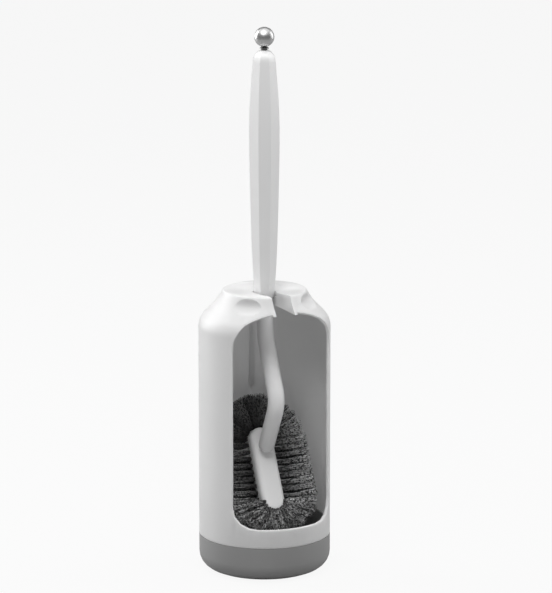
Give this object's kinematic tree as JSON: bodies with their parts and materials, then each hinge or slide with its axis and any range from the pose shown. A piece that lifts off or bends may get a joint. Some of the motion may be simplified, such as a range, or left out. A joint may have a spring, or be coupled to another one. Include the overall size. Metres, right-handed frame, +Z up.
{
  "type": "toilet brush holder",
  "caption": "Tall white canister on a grey base cup, open at the front, with a bent-rod toilet brush standing in it; the brush draws out through the neck slot and front opening.",
  "frame": {"origin": "on the canister's axis, at the floor under the base", "axes": "+Z up along the canister's axis and the handle; the front opening faces -Y; +X is to the right seen from the front"},
  "size_m": [0.108, 0.1081, 0.4502],
  "materials": {
    "shell_white": "smooth satin-gloss moulded plastic",
    "base_grey": "satin moulded plastic",
    "pad_rubber": "matt non-slip rubber",
    "handle_white": "satin moulded plastic",
    "rod_white": "satin moulded plastic",
    "core_white": "satin moulded plastic",
    "ball_chrome": "bright polished plating",
    "stud_steel": "dull steel",
    "washer_steel": "bright plated steel",
    "screw_steel": "plated steel",
    "bristle_dark": "dark nylon filaments"
  },
  "bodies": {
    "base": {"base_cup": "base_grey", "foot_pad_1": "pad_rubber", "foot_pad_2": "pad_rubber", "foot_pad_3": "pad_rubber", "foot_pad_4": "pad_rubber"},
    "canister": {"canister_shell": "shell_white"},
    "brush": {"handle": "handle_white", "finial_ball": "ball_chrome", "finial_stud": "stud_steel", "finial_washer": "washer_steel", "brush_rod": "rod_white", "brush_core": "core_white", "core_screw": "screw_steel", "bristle_right_1": "bristle_dark", "bristle_right_2": "bristle_dark", "bristle_right_3": "bristle_dark", "bristle_right_4": "bristle_dark", "bristle_right_5": "bristle_dark", "bristle_right_6": "bristle_dark", "bristle_right_7": "bristle_dark", "bristle_right_8": "bristle_dark", "bristle_right_9": "bristle_dark", "bristle_left_1": "bristle_dark", "bristle_left_2": "bristle_dark", "bristle_left_3": "bristle_dark", "bristle_left_4": "bristle_dark", "bristle_left_5": "bristle_dark", "bristle_left_6": "bristle_dark", "bristle_left_7": "bristle_dark", "bristle_left_8": "bristle_dark", "bristle_left_9": "bristle_dark", "bristle_top_1": "bristle_dark", "bristle_top_2": "bristle_dark", "bristle_top_3": "bristle_dark", "bristle_top_4": "bristle_dark", "bristle_top_5": "bristle_dark", "bristle_top_6": "bristle_dark", "bristle_top_7": "bristle_dark", "bristle_bottom_1": "bristle_dark", "bristle_bottom_2": "bristle_dark", "bristle_bottom_3": "bristle_dark", "bristle_bottom_4": "bristle_dark", "bristle_bottom_5": "bristle_dark", "bristle_bottom_6": "bristle_dark", "bristle_bottom_7": "bristle_dark", "bristle_back_1": "bristle_dark", "bristle_back_2": "bristle_dark", "bristle_back_3": "bristle_dark", "bristle_back_4": "bristle_dark", "bristle_back_5": "bristle_dark", "bristle_back_6": "bristle_dark", "bristle_back_7": "bristle_dark"}
  },
  "joints": [
    {"name": "canister_lift", "type": "slide", "parent": "base", "child": "canister", "axis": [0, 0, 1], "range_m": [0, 0.02]},
    {"name": "brush_draw", "type": "slide", "parent": "canister", "child": "brush", "axis": [0, -0.8192, 0.5736], "range_m": [0, 0.115]}
  ]
}
